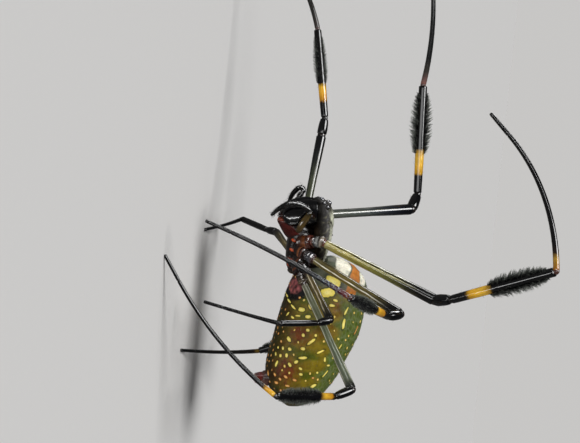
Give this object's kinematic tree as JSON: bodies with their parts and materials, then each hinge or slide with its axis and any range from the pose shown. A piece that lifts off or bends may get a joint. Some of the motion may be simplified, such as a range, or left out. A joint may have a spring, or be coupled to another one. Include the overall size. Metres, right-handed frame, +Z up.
{
  "type": "golden silk orb weaver spider",
  "caption": "Life-size orb weaver with a long spotted abdomen, a silvery shield on the head, and long thin legs that carry dark brushes of bristles, reaching forward and up.",
  "frame": {"origin": "centre of the bounding box, on the floor that the four standing feet share", "axes": "+Z up; the head looks along -Y, turned about 10 degrees; the spider's left side is +X; the longest extent, from the right second leg to the rear legs, is along Y"},
  "size_m": [0.0484, 0.0732, 0.0519],
  "materials": {
    "carapace": "silver down over dark shell",
    "sternum": "shiny dark shell with pale points at its edge",
    "mouthparts": "dark red shell",
    "black": "shiny black shell",
    "claw": "polished dark red-brown",
    "eye": "polished black lens",
    "coxa": "shiny orange-brown shell",
    "femur": "shiny olive-brown shell, darker to the knee",
    "brush": "dense black bristles",
    "abdomen": "satin olive-brown skin with yellow spots"
  },
  "bodies": {
    "root": {"carapace": "carapace", "sternum": "sternum", "mouthparts": "mouthparts", "chelicera_left": "black", "fang_left": "claw", "palp_left": "black", "chelicera_right": "black", "fang_right": "claw", "palp_right": "black", "eye_left_front_middle": "eye", "eye_left_rear_middle": "eye", "eye_left_front_side": "eye", "eye_left_rear_side": "eye", "eye_right_front_middle": "eye", "eye_right_rear_middle": "eye", "eye_right_front_side": "eye", "eye_right_rear_side": "eye", "pedicel": "sternum", "abdomen": "abdomen", "spinnerets": "mouthparts", "left_leg_1_coxa": "coxa", "left_leg_1_femur": "femur", "left_leg_1_tibia": "brush", "left_leg_1_metatarsus": "black", "left_leg_1_tarsus": "black", "left_leg_2_coxa": "coxa", "left_leg_2_femur": "femur", "left_leg_2_tibia": "brush", "left_leg_2_metatarsus": "black", "left_leg_2_tarsus": "black", "left_leg_3_coxa": "coxa", "left_leg_3_femur": "femur", "left_leg_3_tibia": "black", "left_leg_3_metatarsus": "black", "left_leg_3_tarsus": "black", "left_leg_4_coxa": "coxa", "left_leg_4_femur": "femur", "left_leg_4_tibia": "brush", "left_leg_4_metatarsus": "black", "left_leg_4_tarsus": "black", "right_leg_1_coxa": "coxa", "right_leg_1_femur": "femur", "right_leg_1_tibia": "brush", "right_leg_1_metatarsus": "black", "right_leg_1_tarsus": "black", "right_leg_2_coxa": "coxa", "right_leg_2_femur": "femur", "right_leg_2_tibia": "brush", "right_leg_2_metatarsus": "black", "right_leg_2_tarsus": "black", "right_leg_3_coxa": "coxa", "right_leg_3_femur": "femur", "right_leg_3_tibia": "black", "right_leg_3_metatarsus": "black", "right_leg_3_tarsus": "black", "right_leg_4_coxa": "coxa", "right_leg_4_femur": "femur", "right_leg_4_tibia": "brush", "right_leg_4_metatarsus": "black", "right_leg_4_tarsus": "black"}
  },
  "joints": []
}
